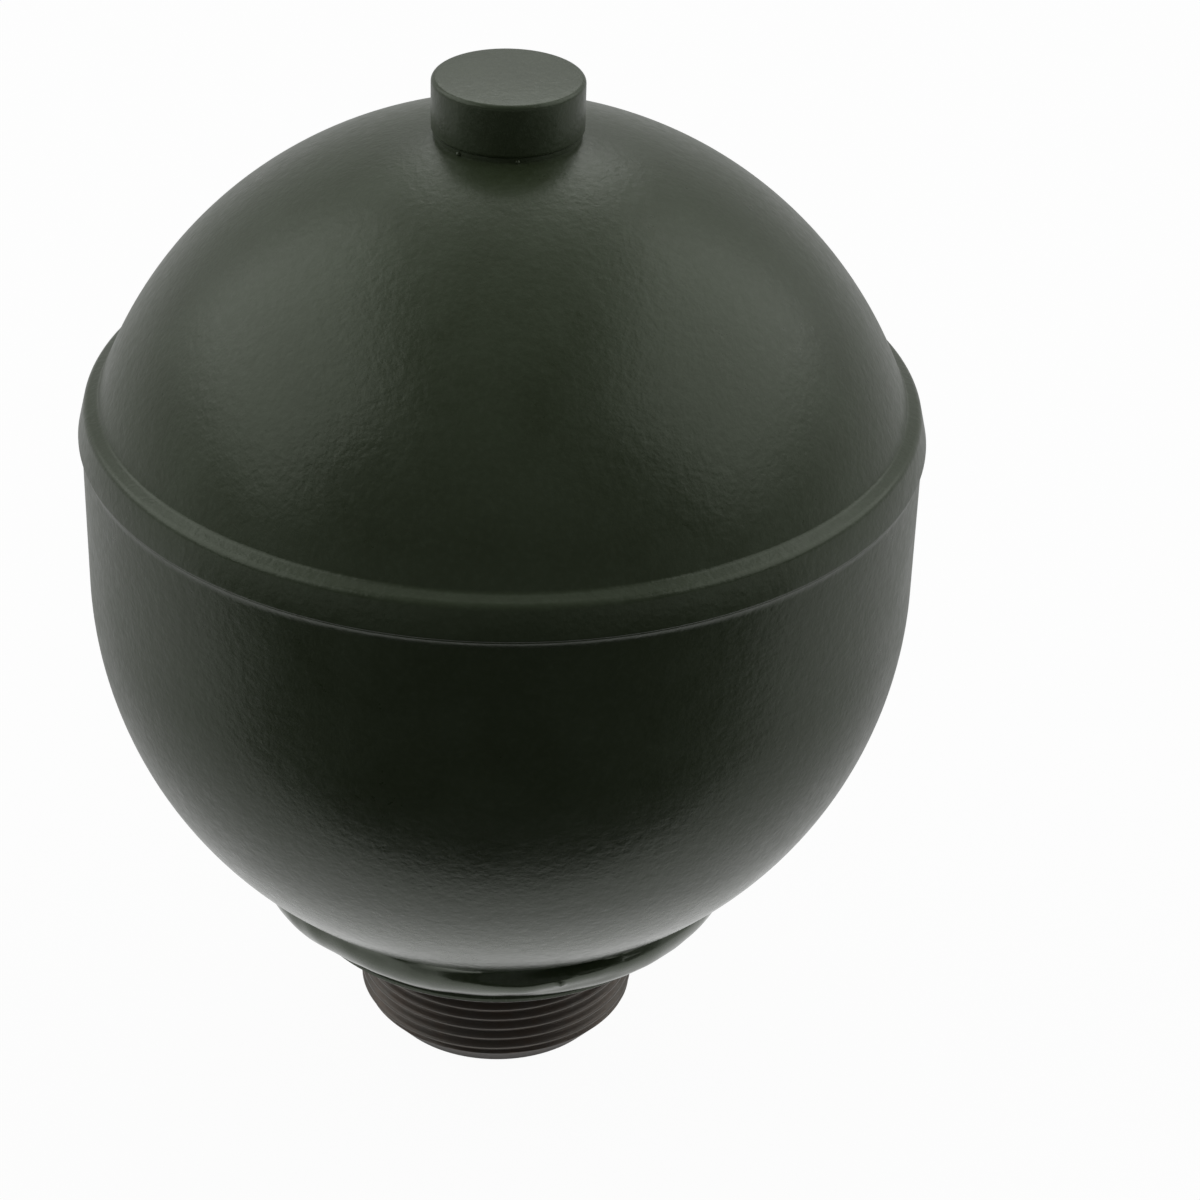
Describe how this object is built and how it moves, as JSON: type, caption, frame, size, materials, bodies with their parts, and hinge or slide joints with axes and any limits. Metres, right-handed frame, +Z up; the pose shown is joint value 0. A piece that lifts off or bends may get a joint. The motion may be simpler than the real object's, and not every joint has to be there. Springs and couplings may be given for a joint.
{
  "type": "suspension accumulator",
  "caption": "Painted steel gas sphere with a threaded neck, a welded filler cap, an inner rubber diaphragm and a shim damper in the neck.",
  "frame": {"origin": "centre of the neck's end face, on which the part stands", "axes": "+Z up along the axis of the neck and sphere, from the neck to the filler cap"},
  "size_m": [0.0996, 0.0996, 0.1282],
  "materials": {
    "green_paint": "satin dark green-grey stoved paint with a fine orange-peel surface",
    "neck_steel": "turned steel with a dark brown phosphate coat, painted above the seal seat",
    "bare_steel": "turned steel, lightly oiled",
    "spring_steel": "rolled spring steel",
    "sintered_steel": "sintered steel, steam treated",
    "diaphragm_rubber": "matt black moulded rubber"
  },
  "bodies": {
    "pressure_vessel": {"upper_shell": "green_paint", "lower_shell": "green_paint", "equator_weld": "green_paint", "top_cap": "green_paint", "cap_weld": "green_paint", "neck_weld": "green_paint", "neck": "neck_steel", "charging_plug": "bare_steel", "clamp_ring": "bare_steel", "diaphragm": "diaphragm_rubber", "damper_body": "sintered_steel", "compression_washer": "bare_steel", "rebound_washer": "bare_steel", "damper_bolt": "bare_steel", "damper_nut": "bare_steel", "compression_shim_1": "spring_steel", "compression_shim_2": "spring_steel", "compression_shim_3": "spring_steel", "compression_shim_4": "spring_steel", "rebound_shim_1": "spring_steel", "rebound_shim_2": "spring_steel", "rebound_shim_3": "spring_steel"},
    "diaphragm_centre": {"diaphragm_button": "bare_steel"}
  },
  "joints": [
    {"name": "diaphragm_stroke", "type": "slide", "parent": "pressure_vessel", "child": "diaphragm_centre", "axis": [0, 0, 1], "range_m": [0, 0.036], "stiffness_N_per_m": 20, "deforming": ["diaphragm"]}
  ]
}
